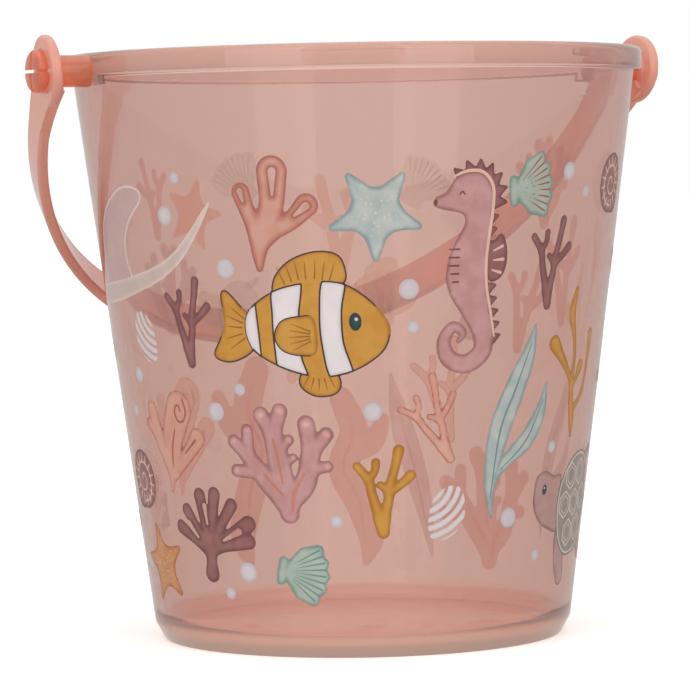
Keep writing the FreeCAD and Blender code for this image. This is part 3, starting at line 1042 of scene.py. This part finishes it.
def sea_grass(leaf_ink, vein_ink):
    """Two long blades of grass with a vein."""
    tall = limb((-6.6, -25, 0.5), (-7.6, -15, 2.0), (-5.6, -2, 3.5), (-1.4, 9, 3.5), (2.6, 18, 2.5),
                (4.6, 26, 0.4), steps=6)
    short = limb((-7, -17, 0.5), (-3, -10.5, 1.8), (4, -5, 2.7), (8.6, 2, 2.2), (10.8, 10.5, 0.3), steps=6)
    veins = join(limb((-7.2, -20, 0.16), (-5.4, -2, 0.3), (-1.2, 9, 0.3), (3.6, 21.5, 0.14), steps=6),
                 limb((-4.6, -12.6, 0.14), (4, -5, 0.26), (9.8, 6, 0.12), steps=6))
    return 13, 27, [(leaf_ink, join(tall, short)), (vein_ink, veins)]


def gold_weed():
    """A thin branching weed with leaf-shaped tips."""
    stems = join(
        limb((1.6, -20, 0.4), (0.8, -14, 1.6), (-1, -6, 1.1), (-0.6, 2, 0.8), (-2.4, 9, 1.0), (-4.2, 14, 1.7),
             (-3, 20.4, 0.8)),
        limb((-1.2, -5, 0.8), (-5, -0.4, 1.2), (-8, 2.6, 1.6), (-11.4, 6, 2.3)),
        limb((-0.6, -6, 0.8), (2, -3.4, 1.0), (3.4, -0.6, 1.7)),
        limb((0.6, -13, 0.9), (6.2, -8, 0.9), (8, 0, 0.9), (8.4, 8, 1.5)), soft=0.8)
    return 15, 23, [("gold", stems)]


def pale_twig():
    """A light coral twig drawn with a darker line round it."""
    half_width, half_height, layers = twig_coral("blush", 1.0)
    body = layers[0][1]
    return half_width, half_height, [("blush", body), ("rose_dark", border(body, 0.32))]


def turtle():
    """A swimming turtle that looks left."""
    shell = outline((-5.6, -2), (-5, 6), (-0.6, 12.4), (6, 15.6), (13, 14.6), (18.6, 8), (19, -4), (14, -12),
                    (4, -14.8), (-2.6, -10.8))
    head = outline((-18, 5.5), (-17.2, 9.8), (-13.4, 11.2), (-9, 9.6), (-4.4, 8.6), (-4.2, -6), (-9.4, -6),
                   (-14.4, -3.4), (-17.6, 1))
    flippers = join(limb((-2, -9, 3.4), (-1, -15.5, 3.2), (0.6, -20.4, 2.7)),
                    limb((14, -10, 2.6), (19, -15.6, 1.8)),
                    limb((14, 13, 2.0), (19, 16, 1.2)), limb((18, 0, 1.4), (22, 1, 0.6)))
    plates = []
    for cx, cy in ((2.2, 8.6), (9.6, 9.4), (-0.6, 0.4), (6.6, 0.6), (13.6, 2), (3.4, -8), (10.6, -7)):
        corners = [(cx + 4 * math.cos(angle), cy + 4.2 * math.sin(angle))
                   for angle in (math.radians(30 + 60 * k) for k in range(6))]
        plates.append(outline(*corners, sharp=True))
    lines = join(*[border(plate, 0.5) for plate in plates],
                 *[border(grown(plate, -1.2), 0.3) for plate in plates])
    return 23, 24, [
        ("skin", join(head, flippers, soft=0.5)),
        ("moss", shell),
        ("pearl", join(overlap(lines, grown(shell, -0.4)), border(grown(shell, -0.5), 0.6))),
        ("deep_teal", oval(-13.2, 5.8, 1.0, 1.5)),
        ("white", disc(-13.4, 6.3, 0.35)),
    ]


def bubble(radius):
    """A plain round bubble."""
    return radius + 1, radius + 1, [("bubble", disc(0, 0, radius))]


# ======== where the pictures stand ========

def picture_places():
    """Every picture round the wall: name, drawing, azimuth and height of its middle, turn, scale, mirrored.

    Azimuth and turn are in degrees, the height in millimetres. Numbers left out are those of print_motif.
    """
    plum_twig, gold_twig = twig_coral("plum", 1.12), twig_coral("gold", 1.3)
    rose_twig = twig_coral("rose_dark", 1.3)
    teal_star, gold_star = sea_star("teal", "white"), sea_star("sand", "cream")
    green_shell, low_shell = scallop("green", "rose_dark"), scallop("green", "vein")
    grass = sea_grass("teal", "vein")
    mauve_coral, rose_coral = big_coral("mauve", "tip"), big_coral("rose_dark", "tip")
    mauve_leaf = long_leaf("mauve", "plum")
    return [
        ("fish_front", fish(), -10.7, 89, 0, 0.95),
        ("loop_coral_front", hollow_coral(), -17, 118.5),
        ("star_front", teal_star, 4, 118, -36),
        ("seahorse_front", seahorse(), 24, 103, 0, 0.98),
        ("scallop_high_right", green_shell, 39, 124, 10, 0.95),
        ("scallop_low_left", low_shell, -15, 23, -8, 0.9),
        ("twig_right", plum_twig, 46, 104),
        ("twig_left", plum_twig, -41, 90, 0, 0.98),
        ("coil_shell_right", spiral_shell(), 70, 124.6),
        ("coil_shell_left", spiral_shell(), -69, 46, 0, 1.0, True),
        ("ray_left", manta(), -53, 111),
        ("striped_shell_left", striped_shell(), -56, 85, 0, 1.0, True),
        ("striped_shell_front", striped_shell(), 21, 38, 0, 1.05),
        ("twist_coral_left", twist_coral(), -50, 58),
        ("big_coral_front", mauve_coral, -19, 53),
        ("fan_coral_left", fan_coral(), -39, 34),
        ("star_low_left", gold_star, -63, 23, 10, 0.9),
        ("twig_gold_front", gold_twig, 5, 45, 0, 0.98),
        ("weed_right", gold_weed(), 60, 76),
        ("pale_twig_front", pale_twig(), 17, 63, 25),
        ("grass_right", grass, 39.5, 61.5),
        ("turtle_right", turtle(), 63, 37, 0, 0.95),
        # round the right side, the back and the left side
        ("loop_coral_right", hollow_coral(), 90, 104, 10, 1.0, True),
        ("star_right", gold_star, 88, 72, 20, 0.9),
        ("twig_far_right", rose_twig, 118, 99, -6, 1.25, True),
        ("weed_far_right", gold_weed(), 104, 82, 0, 0.95, True),
        ("grass_far_right", sea_grass("mauve", "plum"), 110, 48, 0, 1.0, True),
        ("big_coral_far_right", rose_coral, 129, 125, 0, 0.85, True),
        ("twig_back_right", rose_twig, 133, 89, 8, 1.1, True),
        ("big_coral_back_right", rose_coral, 141, 31, 0, 1.15, True),
        ("seahorse_back", seahorse(), 149, 96, 0, 0.62, True),
        ("pale_twig_back", pale_twig(), 157, 64, -10, 1.25, True),
        ("leaf_back", mauve_leaf, 165.5, 42),
        ("scallop_back_right", green_shell, 164, 125, 125, 0.95),
        ("fish_back", fish(), 174, 93, 0, 0.5, True),
        ("kelp_back", kelp(), -178, 38, 0, 0.85, True),
        ("weed_back", twig_coral("blush", 1.3), -176, 113, 0, 1.25),
        ("twig_back", gold_twig, -163, 78, 4, 0.9),
        ("scallop_back_left", low_shell, -151, 127, 60, 0.95),
        ("kelp_back_left", kelp(), -149, 43),
        ("turtle_back", turtle(), -145, 88, 0, 0.6, True),
        ("star_back_left", gold_star, -137, 117, 18, 0.85),
        ("twig_far_left", rose_twig, -124, 122, 0, 0.95),
        ("twist_coral_back", twist_coral(), -124, 54, 0, 1.2, True),
        ("big_coral_far_left", mauve_coral, -126, 96, 0, 0.85),
        ("weed_left", gold_weed(), -102, 70, 0, 0.95, True),
        ("leaf_left", long_leaf("mist", "pearl"), -93, 118, -14, 0.85),
        ("fan_coral_far_left", fan_coral(), -97, 34, 0, 1.1, True),
        ("star_left", teal_star, -104, 116, 24, 0.9),
        ("scallop_left", green_shell, -88, 84, 95, 0.9, True),
    ]


# Bubbles between the front pictures: azimuth, height and radius. The others are scattered round the rest.
FRONT_BUBBLES = [
    (-40, 128, 1.6), (-44, 118, 2.6), (-29, 104, 2.6), (11, 98, 2.7), (12, 88, 1.6), (50, 128, 2.4),
    (57, 122.5, 1.6), (-28, 72, 1.6), (-35, 66, 2.5), (3, 66, 2.5), (-6, 37, 1.7), (-30, 23, 2.7),
    (-36, 17, 1.6), (-62, 75, 2.2), (-67, 65, 1.6), (53, 54, 1.7), (39, 36, 2.7), (50, 25, 1.6),
]
SCATTER_AZIMUTHS = range(78, 286, 9)
SCATTER_SHIFT = 3                # degrees to either side
SCATTER_HEIGHTS = (16, 132)
SCATTER_RADII = (1.4, 2.7)


def make_bubbles(inks):
    """Pale bubbles between the pictures: the front ones by place, the others scattered."""
    places = list(FRONT_BUBBLES)
    rng = random.Random(7)
    for azimuth in SCATTER_AZIMUTHS:
        shift = rng.uniform(-SCATTER_SHIFT, SCATTER_SHIFT)
        places.append((azimuth + shift, rng.uniform(*SCATTER_HEIGHTS), rng.uniform(*SCATTER_RADII)))
    for number, (azimuth, height, radius) in enumerate(places):
        print_motif(f"bubble_{number:02d}", inks, bubble(radius), azimuth, height)


def make_print():
    """All the ink on the wall."""
    inks = {name: ink(name) for name in INKS}
    for name, motif, *placing in picture_places():
        print_motif("print_" + name, inks, motif, *placing)
    make_bubbles(inks)


def set_view():
    """Plain display colours, and enough bounces for all the walls and inks that stand behind each other."""
    scene = bpy.context.scene
    scene.view_settings.view_transform = "Standard"
    scene.cycles.max_bounces = 24
    scene.cycles.glossy_bounces = 20
    scene.cycles.transmission_bounces = 20
    scene.cycles.transparent_max_bounces = 24


def make_mouldings(bail):
    """The bucket with its pins and floor bar in clear plastic, and the plastic of the CAD bail."""
    shell_plastic = shell_material()
    dense_plastic = clear_plastic("pin_plastic")
    bail_plastic = clear_plastic("bail_plastic")
    shell = make_shell()
    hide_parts("bucket_shell")
    for piece, plastic in ((shell, shell_plastic), (make_floor_bar(), dense_plastic),
                           (make_pin(1), dense_plastic), (make_pin(-1), dense_plastic)):
        give(piece, plastic)
        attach(piece, "bucket")
    give(bail, bail_plastic)


def main():
    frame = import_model()
    make_camera()
    make_floor()
    make_lights()
    set_view()
    make_mouldings(frame["nodes"]["bail_handle"])
    make_print()

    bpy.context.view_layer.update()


main()
